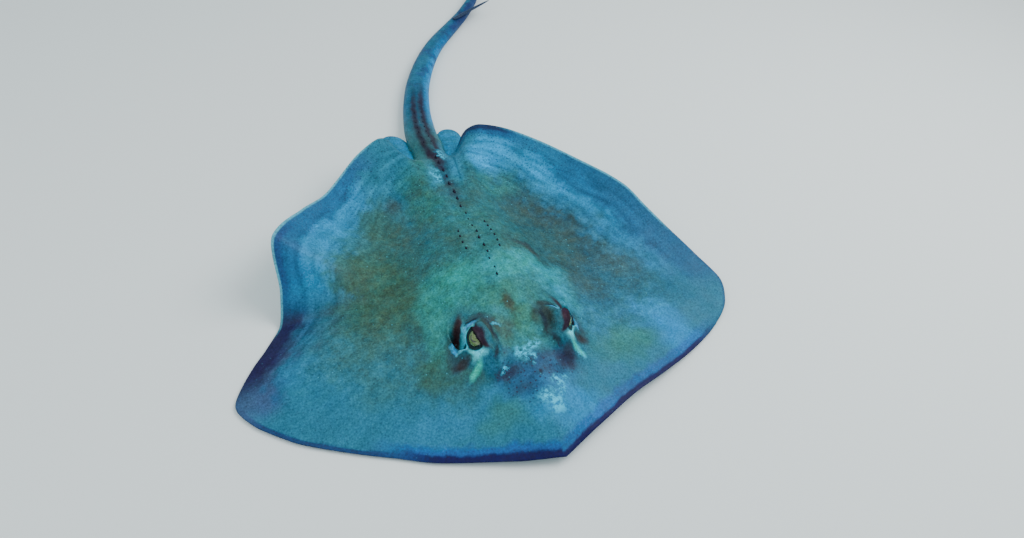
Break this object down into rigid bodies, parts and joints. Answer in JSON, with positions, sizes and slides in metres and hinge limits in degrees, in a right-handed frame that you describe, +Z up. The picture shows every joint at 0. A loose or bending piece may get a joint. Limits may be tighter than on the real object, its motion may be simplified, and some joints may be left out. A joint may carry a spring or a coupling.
{
  "type": "southern stingray",
  "caption": "Life-size stingray resting on its belly, rear fin margins lifted in a ripple, long whip tail with its sting laid along the floor.",
  "frame": {"origin": "on the floor under the middle of the back, where the belly lies flat", "axes": "+Y from the head towards the tail, +Z up, +X to the animal's left"},
  "size_m": [0.9555, 2.1772, 0.1467],
  "materials": {
    "skin_back": "satin, wet-looking skin, olive to blue-green",
    "skin_fin": "satin, wet-looking skin, steel blue",
    "skin_tail": "satin, wet-looking skin, blue with a dark stripe",
    "eye": "wet gloss, pale gold iris",
    "sting": "matt, horn-like"
  },
  "bodies": {
    "root": {"head": "skin_back", "trunk": "skin_back", "pectoral_fin_left": "skin_fin", "pectoral_fin_right": "skin_fin", "pelvic_fin_left": "skin_fin", "pelvic_fin_right": "skin_fin", "tail_base": "skin_tail", "tail_mid": "skin_tail", "tail_sting_length": "skin_tail", "tail_whip_1": "skin_tail", "tail_whip_2": "skin_tail", "tail_whip_3": "skin_tail", "tail_fold": "skin_tail", "sting": "sting", "eye_left": "eye", "eye_right": "eye"}
  },
  "joints": []
}
